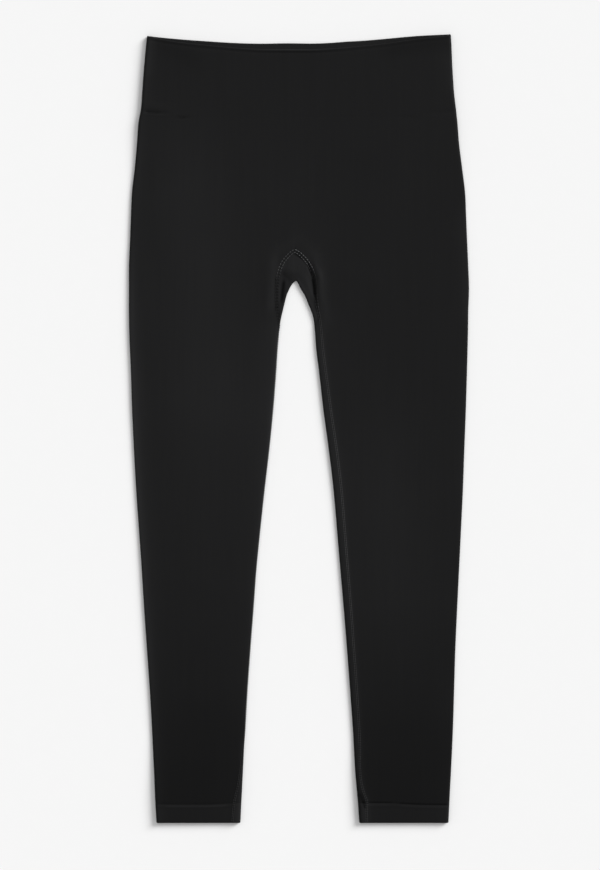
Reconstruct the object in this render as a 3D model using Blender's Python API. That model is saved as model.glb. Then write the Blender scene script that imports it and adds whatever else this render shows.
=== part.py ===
"""Seamless high-waist leggings, lying flat with the front up.

A tube of fine knit makes the hip and both legs. A doubled waistband closes its top edge, a turned hem closes each
leg, and a leaf-shaped gusset is folded over the crotch. Every piece is a wall of cloth with an open hollow inside.

The tables are in millimetres. +X is the wearer's left, +Y points to the waist and +Z up from the surface that the
back lies on. The origin is on that surface, under the middle of the garment.
"""

import math

import bmesh
import bpy
import numpy as np

MM = 0.001

# Cloth, folds and seams
CLOTH = 1.0  # wall of one layer of knit
TURN_GAP = 0.3  # air between a turned-in layer and the layer that covers it
HOLLOW = 0.6  # air between the back and the front of the pressed tube
SEAM_GAP = 0.3  # two pieces end this far apart where they are sewn together
SINGLE_HEIGHT = 2 * CLOTH + HOLLOW
DOUBLE_HEIGHT = 4 * CLOTH + 2 * TURN_GAP + HOLLOW
RISE = 36.0  # the tube swells from the single to the double height over this length

# Levels along the garment
BAND_SEAM_Y = 349.0
CROTCH_Y = 165.0
HEM_SEAM_Y = -419.5
HEM_EDGE_Y = -440.5
WAIST_Y = 440.5  # the highest point of the waist edge

# How finely the pieces are divided
PANEL_STEPS = 11  # points across a front or a back panel
SIDE_STEPS = 4  # facets of the rounded fold at each side
TURN_STEPS = 4  # facets of the fold at a turned edge

# Half outlines of the hip and the waistband
TORSO = np.array(
    [  # y, right side, left side
        (-441.0, -190.1, 190.1),
        (165.0, -190.1, 190.1),
        (184.0, -190.0, 189.2),
        (211.0, -188.9, 187.9),
        (238.0, -187.8, 186.8),
        (264.0, -186.5, 185.5),
        (291.0, -183.7, 182.4),
        (318.0, -181.1, 179.2),
        (345.0, -178.7, 176.6),
        (358.0, -176.8, 175.3),
        (385.0, -174.4, 172.4),
        (412.0, -172.0, 171.0),
        (440.5, -168.8, 168.9),
    ]
)

# Outlines of the two legs, from the crotch to the hem edge
LEGS = np.array(
    [  # y, right outer, right inner, left inner, left outer
        (-440.5, -159.3, -65.4, 67.4, 167.1),
        (-419.5, -160.4, -64.4, 65.8, 167.9),
        (-382.0, -162.1, -62.6, 62.7, 169.9),
        (-337.0, -164.3, -60.4, 60.2, 172.0),
        (-292.0, -166.8, -58.0, 57.0, 173.5),
        (-248.0, -169.9, -54.9, 53.7, 174.8),
        (-203.0, -173.1, -51.4, 50.1, 176.8),
        (-158.0, -175.8, -48.0, 46.2, 178.9),
        (-113.0, -178.9, -43.6, 42.4, 181.1),
        (-69.0, -182.0, -38.9, 38.6, 183.2),
        (-24.0, -184.5, -33.7, 33.3, 184.9),
        (21.0, -186.6, -29.3, 27.2, 186.6),
        (65.0, -188.0, -25.9, 22.2, 187.8),
        (88.0, -188.9, -24.4, 19.3, 188.6),
        (110.0, -189.8, -22.3, 17.4, 189.0),
        (124.0, -190.1, -20.0, 16.0, 189.2),
        (146.0, -190.1, -14.6, 7.8, 189.6),
        (165.0, -190.1, -3.6, -3.2, 190.1),
    ]
)

# The waist edge dips at the middle, and the front dips more than the back
WAIST_EDGE = np.array(
    [  # x, front y, back y
        (-169.0, 438.0, 438.4),
        (-136.0, 431.8, 435.3),
        (-92.0, 427.2, 432.1),
        (-47.0, 423.6, 429.9),
        (20.0, 423.5, 429.9),
        (48.0, 425.2, 432.0),
        (89.0, 429.1, 434.6),
        (134.0, 435.5, 438.3),
        (165.0, 438.9, WAIST_Y),
    ]
)

# The gusset: where its seam and the fold over the crotch lie, from the right leg over the top to the left leg
GUSSET = np.array(
    [  # seam x, seam y, fold x, fold y
        (-23.6, 124.0, -20.0, 124.0),
        (-24.4, 136.0, -17.2, 134.5),
        (-24.8, 148.0, -14.3, 146.4),
        (-24.4, 160.0, -11.8, 153.6),
        (-23.0, 171.0, -9.4, 158.4),
        (-19.5, 182.5, -7.0, 162.0),
        (-13.0, 191.5, -5.0, 164.3),
        (-4.8, 198.5, -3.4, 165.0),
        (4.5, 191.5, -1.4, 163.4),
        (10.5, 184.5, 0.7, 159.4),
        (15.5, 174.0, 3.2, 154.8),
        (18.2, 162.0, 5.8, 150.2),
        (18.9, 149.0, 8.4, 144.6),
        (20.5, 136.5, 11.8, 136.0),
        (23.0, 124.0, 16.0, 124.0),
    ]
)
NOTCH_REACH = 10.0  # how far the notch cutter stands out above and below the cloth

KNIT_BLACK = (0.0125, 0.0125, 0.0135)
BAND_BLACK = (0.0130, 0.0130, 0.0140)
GUSSET_BLACK = (0.0150, 0.0150, 0.0160)
HEM_BLACK = (0.0140, 0.0140, 0.0150)
KNIT_ROUGHNESS = 0.85


def clear_scene():
    """Removes whatever objects the scene starts with."""
    for obj in list(bpy.data.objects):
        bpy.data.objects.remove(obj, do_unlink=True)


def new_collection(name):
    collection = bpy.data.collections.new(name)
    bpy.context.scene.collection.children.link(collection)
    return collection


def knit_material(name, colour):
    """A matt knit of one colour."""
    material = bpy.data.materials.new(name)
    material.use_nodes = True
    shader = material.node_tree.nodes["Principled BSDF"]
    shader.inputs["Base Color"].default_value = (*colour, 1.0)
    shader.inputs["Roughness"].default_value = KNIT_ROUGHNESS
    shader.inputs["Metallic"].default_value = 0.0
    return material


def tube_height(y):
    """Height of the pressed tube at y: single cloth, swelling to the turned cloth of the band and the hems."""
    to_band = np.clip((y - (BAND_SEAM_Y - RISE)) / RISE, 0.0, 1.0)
    to_hem = np.clip((HEM_SEAM_Y + RISE - y) / RISE, 0.0, 1.0)
    rise = max(to_band, to_hem)
    eased = rise * rise * (3.0 - 2.0 * rise)
    return SINGLE_HEIGHT + (DOUBLE_HEIGHT - SINGLE_HEIGHT) * eased


def torso_edges(y):
    return np.interp(y, TORSO[:, 0], TORSO[:, 1]), np.interp(y, TORSO[:, 0], TORSO[:, 2])


def right_leg_edges(y):
    return np.interp(y, LEGS[:, 0], LEGS[:, 1]), np.interp(y, LEGS[:, 0], LEGS[:, 2])


def left_leg_edges(y):
    return np.interp(y, LEGS[:, 0], LEGS[:, 3]), np.interp(y, LEGS[:, 0], LEGS[:, 4])


def waist_edge_y(x, share_up):
    """Height of the waist edge at x: the back edge below half way up, the front edge above it."""
    front = np.interp(x, WAIST_EDGE[:, 0], WAIST_EDGE[:, 1])
    back = np.interp(x, WAIST_EDGE[:, 0], WAIST_EDGE[:, 2])
    return back + (front - back) * np.clip((share_up - 0.45) / 0.1, 0.0, 1.0)


def flat_ring(edges, height, inset):
    """Section of a pressed tube: front panel, rounded side, back panel, rounded side, moved in from the outside."""
    x_low, x_high = edges
    half = height / 2
    radius = half - inset
    across = np.linspace(x_low + half, x_high - half, PANEL_STEPS)
    turn = np.linspace(math.pi / 2, -math.pi / 2, SIDE_STEPS + 1)[1:-1]
    x = np.concatenate(
        [
            across,
            x_high - half + radius * np.cos(turn),
            across[::-1],
            x_low + half - radius * np.cos(turn),
        ]
    )
    z = half + radius * np.concatenate(
        [
            np.ones(PANEL_STEPS),
            np.sin(turn),
            -np.ones(PANEL_STEPS),
            -np.sin(turn),
        ]
    )
    return x, z


def ring_points(edges, height, inset, y):
    """The points of a flat ring at y, which is one number or one for each point."""
    x, z = flat_ring(edges, height, inset)
    return np.column_stack([x, np.broadcast_to(y, x.shape), z])


def mesh_object(name, points, faces, material, collection):
    """A mesh object from points in millimetres, with its faces turned outwards."""
    mesh = bpy.data.meshes.new(name)
    mesh.from_pydata((points * MM).tolist(), [], faces)
    bm = bmesh.new()
    bm.from_mesh(mesh)
    bmesh.ops.recalc_face_normals(bm, faces=bm.faces)
    bm.to_mesh(mesh)
    bm.free()
    mesh.shade_smooth()
    mesh.set_sharp_from_angle(angle=math.radians(40.0))
    obj = bpy.data.objects.new(name, mesh)
    if material:
        mesh.materials.append(material)
    collection.objects.link(obj)
    return obj


def loft(name, rings, capped, material, collection):
    """Skins a list of closed rings. A loft with no caps closes on itself, from its last ring to its first."""
    count = len(rings[0])
    last = len(rings) - 1 if capped else len(rings)
    faces = []
    for i in range(last):
        here = i * count
        there = (i + 1) % len(rings) * count
        for j in range(count):
            k = (j + 1) % count
            faces.append((here + j, here + k, there + k, there + j))
    if capped:
        faces.append(tuple(range(count)))
        faces.append(tuple((len(rings) - 1) * count + j for j in range(count)))
    return mesh_object(name, np.concatenate(rings), faces, material, collection)


def single_tube(name, levels, edges, material, collection):
    """A pressed tube of one layer, open at both ends: its outside up the levels and its inside back down."""
    outside = [ring_points(edges(y), tube_height(y), 0.0, y) for y in levels]
    inside = [ring_points(edges(y), tube_height(y), CLOTH, y) for y in levels[::-1]]
    return loft(name, outside + inside, False, material, collection)


def turned_profile(seam_side_steps):
    """Profile of cloth turned in at its free edge, as rows of share of the depth, setback from the edge and inset.

    It runs from the seam to the edge outside, round the fold, back inside, and returns between the two layers.
    """
    fold = CLOTH + TURN_GAP / 2
    shares = np.linspace(0.0, 1.0, seam_side_steps)
    angles = np.linspace(0.0, math.pi, TURN_STEPS + 1)[1:-1]
    rows = [(share, share * fold, 0.0) for share in shares]
    rows += [(1.0, fold - fold * math.sin(a), fold - fold * math.cos(a)) for a in angles]
    rows += [(share, share * fold, 2 * fold) for share in shares[::-1]]
    rows += [(share, share * fold, CLOTH + TURN_GAP) for share in shares]
    rows += [(1.0, fold - TURN_GAP / 2, fold)]
    rows += [(share, share * fold, CLOTH) for share in shares[::-1]]
    return rows


def turned_tube(name, seam_y, edge_y, edges, steps, material, collection):
    """A pressed tube of two layers joined by a fold at its free edge. edge_y gives that edge's y at a point."""
    rings = []
    for share, setback, inset in turned_profile(steps):
        level = seam_y + share * (edge_y(0.0, 0.0) - seam_y)
        x, z = flat_ring(edges(level), DOUBLE_HEIGHT, inset)
        depth = edge_y(x, z / DOUBLE_HEIGHT) - seam_y
        y = seam_y + share * depth - setback * np.sign(depth)
        rings.append(np.column_stack([x, y, z]))
    return loft(name, rings, False, material, collection)


def make_body(collection):
    """The hip, from the waistband to the crotch."""
    top = BAND_SEAM_Y - SEAM_GAP / 2
    levels = [CROTCH_Y + SEAM_GAP / 2, 184.0, 211.0, 238.0, 264.0, 291.0]
    levels += list(np.linspace(BAND_SEAM_Y - RISE, top, 5))
    material = knit_material("body_knit", KNIT_BLACK)
    return single_tube("body", levels, torso_edges, material, collection)


def make_leg(name, edges, collection):
    """A leg, from the crotch to the seam of its hem."""
    middle = [y for y in LEGS[:, 0] if HEM_SEAM_Y + RISE + 1.0 < y < CROTCH_Y - 1.0]
    levels = list(np.linspace(HEM_SEAM_Y + SEAM_GAP / 2, HEM_SEAM_Y + RISE, 5))
    levels += middle + [CROTCH_Y - SEAM_GAP / 2]
    material = knit_material(name + "_knit", KNIT_BLACK)
    return single_tube(name, levels, edges, material, collection)


def make_waistband(collection):
    """The doubled waistband, knitted on and turned in at the waist."""
    return turned_tube(
        "waistband",
        BAND_SEAM_Y + SEAM_GAP / 2,
        waist_edge_y,
        torso_edges,
        4,
        knit_material("waistband_knit", BAND_BLACK),
        collection,
    )


def make_hem(name, edges, collection):
    """The turned hem of a leg."""
    return turned_tube(
        name,
        HEM_SEAM_Y - SEAM_GAP / 2,
        lambda x, share_up: HEM_EDGE_Y + 0.0 * x,
        edges,
        2,
        knit_material(name + "_knit", HEM_BLACK),
        collection,
    )


def gusset_ring(seam, fold):
    """Closed section of the gusset from its seam to its fold: front layer, fold, back layer and the inside of all."""
    width = np.linalg.norm(fold - seam)
    half = SINGLE_HEIGHT / 2
    inner = half - CLOTH
    shares = np.array([0.0, 0.5, 1.0]) * (width - half)
    turn = np.linspace(math.pi / 2, -math.pi / 2, SIDE_STEPS + 1)[1:-1]
    out_turn = width - half + half * np.cos(turn)
    in_turn = width - half + inner * np.cos(turn[::-1])
    along = np.concatenate([shares, out_turn, shares[::-1], shares, in_turn, shares[::-1]])
    z = np.concatenate(
        [
            np.full(3, SINGLE_HEIGHT),
            half + half * np.sin(turn),
            np.zeros(3),
            np.full(3, CLOTH),
            half + inner * np.sin(turn[::-1]),
            np.full(3, SINGLE_HEIGHT - CLOTH),
        ]
    )
    flat = seam + np.outer(along / width, fold - seam)
    return np.column_stack([flat, z])


def make_gusset(collection):
    """The gusset, a leaf folded over the crotch so that it shows at the front and at the back."""
    rings = [gusset_ring(row[:2], row[2:]) for row in GUSSET]
    material = knit_material("gusset_knit", GUSSET_BLACK)
    return loft("gusset", rings, True, material, collection)


def make_notch(collection):
    """The cutter of the opening that the gusset fills: the gusset's seam moved out by the seam gap."""
    seam = GUSSET[:, :2]
    along = np.gradient(seam, axis=0)
    outward = np.column_stack([-along[:, 1], along[:, 0]])
    outward /= np.linalg.norm(outward, axis=1)[:, None]
    outline = seam + SEAM_GAP * outward
    outline[[0, -1], 1] = GUSSET[[0, -1], 1] - SEAM_GAP
    count = len(outline)
    low = np.column_stack([outline, np.full(count, -NOTCH_REACH)])
    high = np.column_stack([outline, np.full(count, NOTCH_REACH)])
    notch = loft("gusset_notch", [low, high], True, None, collection)
    notch.hide_render = True
    notch.display_type = "WIRE"
    return notch


def cut(obj, cutter):
    modifier = obj.modifiers.new("gusset opening", "BOOLEAN")
    modifier.operation = "DIFFERENCE"
    modifier.solver = "EXACT"
    modifier.object = cutter


def main():
    clear_scene()
    parts = new_collection("leggings")
    cutters = new_collection("cutters")
    body = make_body(parts)
    right_leg = make_leg("leg_right", right_leg_edges, parts)
    left_leg = make_leg("leg_left", left_leg_edges, parts)
    make_waistband(parts)
    make_gusset(parts)
    make_hem("hem_right", right_leg_edges, parts)
    make_hem("hem_left", left_leg_edges, parts)
    notch = make_notch(cutters)
    for piece in (body, right_leg, left_leg):
        cut(piece, notch)


main()
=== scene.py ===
"""Seamless high-waist leggings in black knit, laid flat with the front up: the finish of every piece.

Lengths in the tables are millimetres, turned into metres as they are read. +X is the wearer's left, +Y points
to the waist and +Z is up from the surface that the back lies on.
"""

import math
from collections.abc import Callable
from functools import partial
from typing import NamedTuple

import bmesh
import bpy
import numpy as np
from bpy.props import FloatProperty, FloatVectorProperty, PointerProperty
from bpy.types import Operator, Panel, PropertyGroup
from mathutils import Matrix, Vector


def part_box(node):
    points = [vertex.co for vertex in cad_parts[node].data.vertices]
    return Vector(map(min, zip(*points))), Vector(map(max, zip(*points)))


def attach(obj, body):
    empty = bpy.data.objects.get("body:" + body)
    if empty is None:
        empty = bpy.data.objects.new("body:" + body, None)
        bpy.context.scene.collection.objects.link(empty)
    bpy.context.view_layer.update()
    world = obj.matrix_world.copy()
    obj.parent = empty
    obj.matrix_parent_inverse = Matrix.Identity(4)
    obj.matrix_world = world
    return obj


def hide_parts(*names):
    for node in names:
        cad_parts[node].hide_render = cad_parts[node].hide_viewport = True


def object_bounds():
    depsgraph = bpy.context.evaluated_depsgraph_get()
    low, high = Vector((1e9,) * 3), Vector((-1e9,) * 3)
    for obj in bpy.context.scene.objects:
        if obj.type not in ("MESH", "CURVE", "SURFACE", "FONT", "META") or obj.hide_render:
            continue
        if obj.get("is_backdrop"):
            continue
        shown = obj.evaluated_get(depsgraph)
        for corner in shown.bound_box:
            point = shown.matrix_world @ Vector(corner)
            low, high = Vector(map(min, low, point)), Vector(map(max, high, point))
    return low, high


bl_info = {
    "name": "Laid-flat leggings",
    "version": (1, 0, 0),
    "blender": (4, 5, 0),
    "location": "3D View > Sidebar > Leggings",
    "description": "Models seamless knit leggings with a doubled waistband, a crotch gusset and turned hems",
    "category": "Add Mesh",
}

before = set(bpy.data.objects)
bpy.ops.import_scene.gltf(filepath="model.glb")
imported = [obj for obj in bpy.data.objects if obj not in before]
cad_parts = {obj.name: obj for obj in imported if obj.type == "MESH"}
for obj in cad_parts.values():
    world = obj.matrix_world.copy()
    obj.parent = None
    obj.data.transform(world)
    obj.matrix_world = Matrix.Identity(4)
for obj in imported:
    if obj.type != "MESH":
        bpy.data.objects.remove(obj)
CAD_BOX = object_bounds()

MM = 0.001

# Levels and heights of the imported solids
BODY_LOW, BODY_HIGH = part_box("body")
BAND_LOW, BAND_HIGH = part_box("waistband")
HEM_LOW, HEM_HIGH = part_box("hem_left")
GUSSET_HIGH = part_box("gusset")[1]
LEG_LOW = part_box("leg_left")[0]
BAND_SEAM_Y = (BODY_HIGH.y + BAND_LOW.y) / 2
HEM_SEAM_Y = (LEG_LOW.y + HEM_HIGH.y) / 2
HEM_EDGE_Y = HEM_LOW.y
SINGLE_HEIGHT = GUSSET_HIGH.z
DOUBLE_HEIGHT = BAND_HIGH.z
APEX_Y = GUSSET_HIGH.y  # the front point of the gusset
RIGHT, LEFT = -1, 1  # the wearer's sides, and the sign of x there


def table(*rows, plain=0):
    """Rows of millimetres as a sorted array in metres, but for as many last columns as plain says."""
    cells = np.array(sorted(rows), float)
    cells[:, : cells.shape[1] - plain] *= MM
    return cells


# Outer edges of the whole garment
OUTER = table(  # y, right x, left x
    (440.5, -168.8, 168.9),
    (423, -170.8, 170.2),
    (398, -173.2, 171.4),
    (385, -174.4, 172.3),
    (371, -175.4, 173.4),
    (356, -176.7, 175.4),
    (345, -178.9, 176.7),
    (318, -181.1, 178.9),
    (291, -183.6, 182.3),
    (264, -186.7, 185.6),
    (237, -187.9, 186.8),
    (210, -188.9, 187.9),
    (183, -190, 189.1),
    (155, -190.1, 190),
    (132, -190.1, 189.2),
    (110, -189.8, 188.9),
    (65, -188, 187.8),
    (21, -186.6, 186.5),
    (-24, -184.5, 184.8),
    (-69, -182, 183.2),
    (-113, -178.9, 181.1),
    (-158, -175.8, 178.9),
    (-203, -173, 176.7),
    (-248, -169.9, 174.7),
    (-292, -166.8, 173.4),
    (-337, -164.3, 172),
    (-382, -162.1, 169.9),
    (-419.5, -160.4, 167.9),
    (-440.5, -159.3, 167),
)

# Inner edges of the legs, below the crotch
INNER = table(  # y, right x, left x
    (165, -3.4, -3.4),
    (163.4, -5.7, -1.7),
    (159.3, -8.9, 0.2),
    (154.9, -11.2, 2.6),
    (150.4, -13.2, 5.4),
    (145.9, -14.6, 7.7),
    (137, -16.8, 11.2),
    (132.5, -17.9, 13.2),
    (123.5, -20, 16),
    (110, -22.3, 17.6),
    (88, -24.4, 19.3),
    (65, -25.9, 22.2),
    (21, -29.3, 27.2),
    (-24, -33.7, 33.3),
    (-69, -38.9, 38.6),
    (-113, -43.6, 42.4),
    (-158, -48, 46.2),
    (-203, -51.4, 50.1),
    (-248, -54.9, 53.7),
    (-292, -58, 57),
    (-337, -60.4, 60.2),
    (-382, -62.6, 62.7),
    (-419.5, -64.4, 65.8),
    (-440.5, -65.4, 67.3),
)

# The gusset's seam, a pointed arch over the crotch
SEAM = table(  # y, right x, left x
    (198.5, -4.8, -4.8),
    (196, -8.6, -0.4),
    (192, -12.9, 4.1),
    (187, -17, 8.6),
    (182, -19.8, 11.9),
    (176, -22, 14.8),
    (168, -23.7, 17.3),
    (160, -24.5, 18.5),
    (148, -24.9, 19),
    (136, -24.5, 20.4),
    (124, -23.3, 23),
    (100, -23.3, 24.6),
)
CROTCH_Y = INNER[-1, 0]
SEAM_END_Y = 124 * MM  # below this the gusset's tails run out to the inner folds
TAIL_Y = 112 * MM  # where they reach them
TAIL_TIP_Y = TAIL_Y + 1.5 * MM  # where the gusset stops

# The waist edge dips at the middle, and the front dips more than the back
WAIST_EDGE = table(  # x, front y, back y
    (-169, 438, 438.6),
    (-155, 434.9, 437),
    (-136, 431.8, 435.2),
    (-102, 428, 432.7),
    (-79, 425.9, 431.2),
    (-47, 423.8, 430.1),
    (-12, 423.6, 430.5),
    (20, 423.6, 430.3),
    (36, 424.4, 431),
    (51, 425.4, 432.2),
    (72, 427.4, 433.4),
    (89, 429.1, 434.8),
    (134, 435.3, 438.8),
    (169, 439, 440.5),
)

# How far each inseam lies from the extreme of its inner fold, over on to the front
INSEAM = table(  # y, right leg, left leg
    (124, 3.9, 7.7),
    (112, 0.6, 7.9),
    (100, -0.6, 8),
    (64, -0.6, 8.2),
    (20, -0.4, 9),
    (-158, 0, 9),
    (-240, 0.4, 8.4),
    (-297, 0.8, 8.1),
    (-350, 1.8, 7.6),
    (-399, 6.2, 7.6),
    (-407, 7.6, 9),
    (-417, 9.4, 11.4),
    (-429, 10.2, 10.2),
    (-440.5, 10.4, 9.8),
)

# Folds and dents of the front: a soft line from one end to the other, its half width and its height
CREASES = table(  # x0, y0, x1, y1, half width, height
    (-178, 355.6, -169, 353, 1.2, -0.45),
    (-169, 353.4, -155, 352.2, 1.5, -0.9),
    (-174, 352.4, -155, 349.6, 1.6, 0.35),
    (-170, 361, -152, 357.5, 4, 0.35),
    (-134, 347.4, -127, 346.6, 1.3, -0.9),
    (-133, 345.2, -128, 344.6, 1.4, 0.35),
    (118, 347, 126, 346.6, 2.2, -0.35),
    (152, 352, 174, 353.5, 2.6, -0.35),
    (-33, 150, -28, 188, 6, 0.35),
    (-24, 196, -9, 208, 6, 0.3),
    (3, 206, 20, 190, 5, 0.35),
    (17.5, 184, 22.5, 170, 2.6, 0.55),
    (22.5, 170, 24, 146, 3, 0.6),
    (-60, 176, -36, 186, 9, 0.24),
    (36, 178, 66, 170, 10, 0.24),
    (-38, 120, -52, 62, 9, 0.3),
    (40, 112, 50, 40, 9, 0.26),
    (-150, 238, -96, 230, 20, 0.22),
    (100, 250, 150, 262, 22, 0.2),
    (-150, 20, -90, 6, 18, 0.2),
    (96, -30, 150, -18, 20, 0.2),
    (-140, -170, -84, -182, 15, 0.22),
    (92, -206, 150, -196, 15, 0.22),
    (-130, -300, -90, -308, 12, 0.2),
    (84, -330, 140, -322, 12, 0.2),
    (68.5, -411, 73, -423, 1.3, -0.7),
    (70, -404, 75.4, -417, 1.7, 0.55),
)

# Folds of the gusset: the cloth on the wearer's left lies over it
GUSSET_CREASES = table(  # x0, y0, x1, y1, half width, height
    (-3, 195, 2, 191, 1.1, -0.35),
    (11.2, 180.6, 13.9, 172.6, 1.6, -1.1),
    (15.6, 165, 17.4, 151, 1.9, -1.2),
    (9, 166, 12.6, 152, 2.6, 0.35),
    (-18, 162, -19.4, 148, 2.2, -0.8),
    (-14.5, 183, -18.5, 172, 1.8, -0.35),
    (-9, 176, -2, 171, 4, 0.25),
)

# Soft folds of the back, that lift the cloth off the floor
BACK_FOLDS = table(  # x0, y0, x1, y1, half width, height
    (-150, 214, -92, 226, 12, 0.3),
    (84, 236, 148, 222, 14, 0.28),
    (-34, 204, -8, 222, 7, 0.35),
    (10, 220, 36, 198, 7, 0.4),
    (-168, 352, -140, 349, 3, 0.3),
    (136, 350, 166, 353, 3, 0.3),
    (-146, 12, -88, -4, 12, 0.3),
    (90, -22, 148, -36, 12, 0.3),
    (-132, -186, -84, -176, 10, 0.25),
    (94, -212, 146, -202, 10, 0.25),
    (-100, -336, -128, -326, 9, 0.25),
    (88, -318, 132, -328, 9, 0.25),
)

# How pale the knit is down the garment: darker down the calf, paler on the hems, with a painted highlight
# below the waistband where the climbing cloth faces away from the light
TONE_BY_LEVEL = table(  # y, share
    (-441, 0.835),
    (-421, 0.835),
    (-417, 0.585),
    (-382, 0.595),
    (-340, 0.67),
    (-281, 0.82),
    (-200, 0.93),
    (-80, 0.99),
    (250, 0.99),
    (285, 1.02),
    (315, 1.035),
    (338, 1.015),
    (350, 0.99),
    (441, 0.99),
    plain=1,
)

# Painted light and shade on the knit, along edges, creases, seams and hems and in broad soft patches: a soft
# line as above, with the share added there
PAINTED_LIGHT_AND_SHADE = table(  # x0, y0, x1, y1, half width, share
    (-120, 250, -96, 60, 52, 0.27),
    (-6, 236, -4, 196, 46, 0.12),
    (96, -80, 104, -150, 44, 0.19),
    (-118, 10, -104, -120, 40, 0.07),
    (183, 230, 187, 130, 7, 0.22),
    (185, 70, 182, -60, 7, 0.11),
    (-150, 428, -128, 416, 12, -0.12),
    (112, 424, 150, 430, 9, -0.17),
    (167, 408, 170, 388, 7, 0.2),
    (-166, 432, -169, 404, 6, 0.22),
    (-31, 140, -28.5, 184, 4.8, 0.54),
    (-22, 199, -8, 208, 5, 0.12),
    (18, 194, 25, 178, 5, 0.2),
    (27, 168, 32, 122, 5, 0.2),
    (-167, 353, -156, 352.2, 1.1, -0.42),
    (-176, 354.8, -169, 352.8, 1, -0.2),
    (-133, 347.3, -127, 346.8, 1.2, -0.35),
    (-25.6, 167, -25.2, 134, 1.2, -0.6),
    (-62.8, -352, -67, -412, 2.4, 0.42),
    (-68, -418, -69, -440, 4.2, 0.42),
    (-146, -421, -84, -421, 0.8, 0.52),
    (72, -418.4, 102, -418.4, 0.8, -0.56),
    (114, -418.4, 164, -418.4, 0.8, -0.56),
    (74, -420.6, 100, -420.6, 0.8, 0.42),
    (116, -420.6, 164, -420.6, 0.8, 0.42),
    (67.5, -410, 73, -423, 1.1, -0.56),
    plain=1,
)
# Painted shade in the gusset's folds and beside its seam, and painted highlights on its ridges: a soft line as
# above, with the share added there
GUSSET_LIGHT_AND_SHADE = table(  # x0, y0, x1, y1, half width, share
    (-3.5, 194.8, 1, 192, 1.5, -0.8),
    (1, 192, 9, 183, 0.9, -0.5),
    (11.6, 180.2, 14, 172.6, 1.3, -0.82),
    (15.6, 165.4, 17.4, 151, 1.8, -0.86),
    (18, 144, 18.8, 135, 1.7, -0.4),
    (-17.6, 161, -19.4, 145, 2.3, -0.78),
    (-15.5, 172, -10, 166, 2.8, -0.28),
    (-22.4, 168, -22, 142, 0.9, 0.26),
    (-12, 172, -3, 170, 5, -0.16),
    (8, 168, 12, 153, 2.8, 0.26),
    (-8, 188, 2, 184, 7, 0.08),
    plain=1,
)

# Painted light and shade on the sewing thread: brighter where it lies in the light, darker where the gusset's
# folds shade it
THREAD_LIGHT = table(  # y, right side, left side
    (-440, 0.68, 0.7),
    (-400, 0.6, 0.75),
    (-330, 0.33, 0.8),
    (-250, 0.33, 0.95),
    (-130, 0.33, 1.25),
    (0, 0.33, 1.25),
    (90, 0.3, 1),
    (136, 0.26, 0.8),
    (150, 0.27, 0.24),
    (166, 0.3, 0.24),
    (173, 0.9, 0.42),
    (180, 1.7, 1.7),
    (188, 1.35, 2.5),
    (200, 1.5, 2.6),
    plain=2,
)

# How much the outer edge on the wearer's right catches the light
RIGHT_GLOW = table(  # y, share
    (-440, 0.6),
    (-370, 0.9),
    (-310, 1.3),
    (-200, 1.5),
    (60, 2.05),
    (150, 1.3),
    (220, 0.42),
    (440, 0.38),
    plain=1,
)

# How much the inner edge of each leg catches the light
INNER_GLOW = table(  # y, right leg, left leg
    (-440, 0.7, 0.3),
    (-260, 0.8, 0.3),
    (-100, 1, 0.5),
    (30, 1.5, 0.8),
    (112, 1.25, 0.85),
    (150, 0, 0),
    plain=2,
)

# Where each hem's seam wanders from its level
HEM_DRIFT = table(  # x, drift
    (-165, -0.1),
    (-120, -0.5),
    (-96, -0.3),
    (-82, 0.4),
    (-70, 1.2),
    (-58, 1.6),
    (64, 1.1),
    (88, 1.1),
    (104, 0.9),
    (116, 0.1),
    (130, -0.7),
    (146, -1.1),
    (170, -1.2),
)
HEM_DRIFT_REACH = 19 * MM

# Seams and edges across their line
HEM_PROFILE = table(  # above the hem's seam, half width, height
    (0.3, 1, -0.6),
    (-1.8, 1.2, 0.45),
)
WAIST_PROFILE = table(  # below the waist edge, half width, height
    (1.2, 1, 0.35),
    (3.6, 1.3, -0.45),
)
OUTER_ROLL_WIDTH = {RIGHT: 2.4 * MM, LEFT: 2.0 * MM}
INNER_ROLL_WIDTH = {RIGHT: 4.0 * MM, LEFT: 3.2 * MM}
BACK_SEAM_LIFT = 0.62 * MM  # how far the back stands off the floor at the gusset's seam

# Points of a section: in from the outer fold, in from the inner fold, round a quarter of either, and between
OUTER_STEPS = MM * np.array([1.0, 2.4, 4.4, 7.2, 11.0, 16.0, 22.0, 29.0])
INNER_STEPS = MM * np.array([0.7, 1.6, 2.8, 4.0, 5.2, 6.4, 7.6, 8.8, 10.2, 12.6, 16.5, 22.0, 29.0])
FOLD_SHARES = np.linspace(0.0, 1.0, 5)
SHELL_MIDDLE_STEPS = 17
BAND_MIDDLE_STEPS = 43
NO_INNER_FOLD = -1.0  # an inner edge so far past the middle line that a section never gets there

# Points along each layer of the turned cloth, and the grid of the gusset
BAND_ROWS = 58
HEM_ROWS = 12
GUSSET_STATIONS = 121
GUSSET_STEPS = 19
GUSSET_GAP = 0.15 * MM  # from the gusset to the cloth round it
GUSSET_WALL = 0.6  # its thickness as a share of the other cloth's
GUSSET_TONE = 1.38
BAND_INSIDE_TONE = 1.35
MERGE_DISTANCE = 0.01 * MM

# Stitches: length as a share of the pitch, thickness of the slanting threads, and where the sides' painted
# light and shade meet
STITCH_SHARE = 0.76
SLANT_SHARE = 0.62
THREAD_SPLIT_X = -4 * MM


def length_setting(name, description, default):
    """A length that a user may change, its default in millimetres."""
    return FloatProperty(name=name, description=description, default=default * MM, unit="LENGTH")


def colour_setting(name, description, default):
    """A colour that a user may change."""
    return FloatVectorProperty(name=name, description=description, default=default, size=3, subtype="COLOR")


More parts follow.
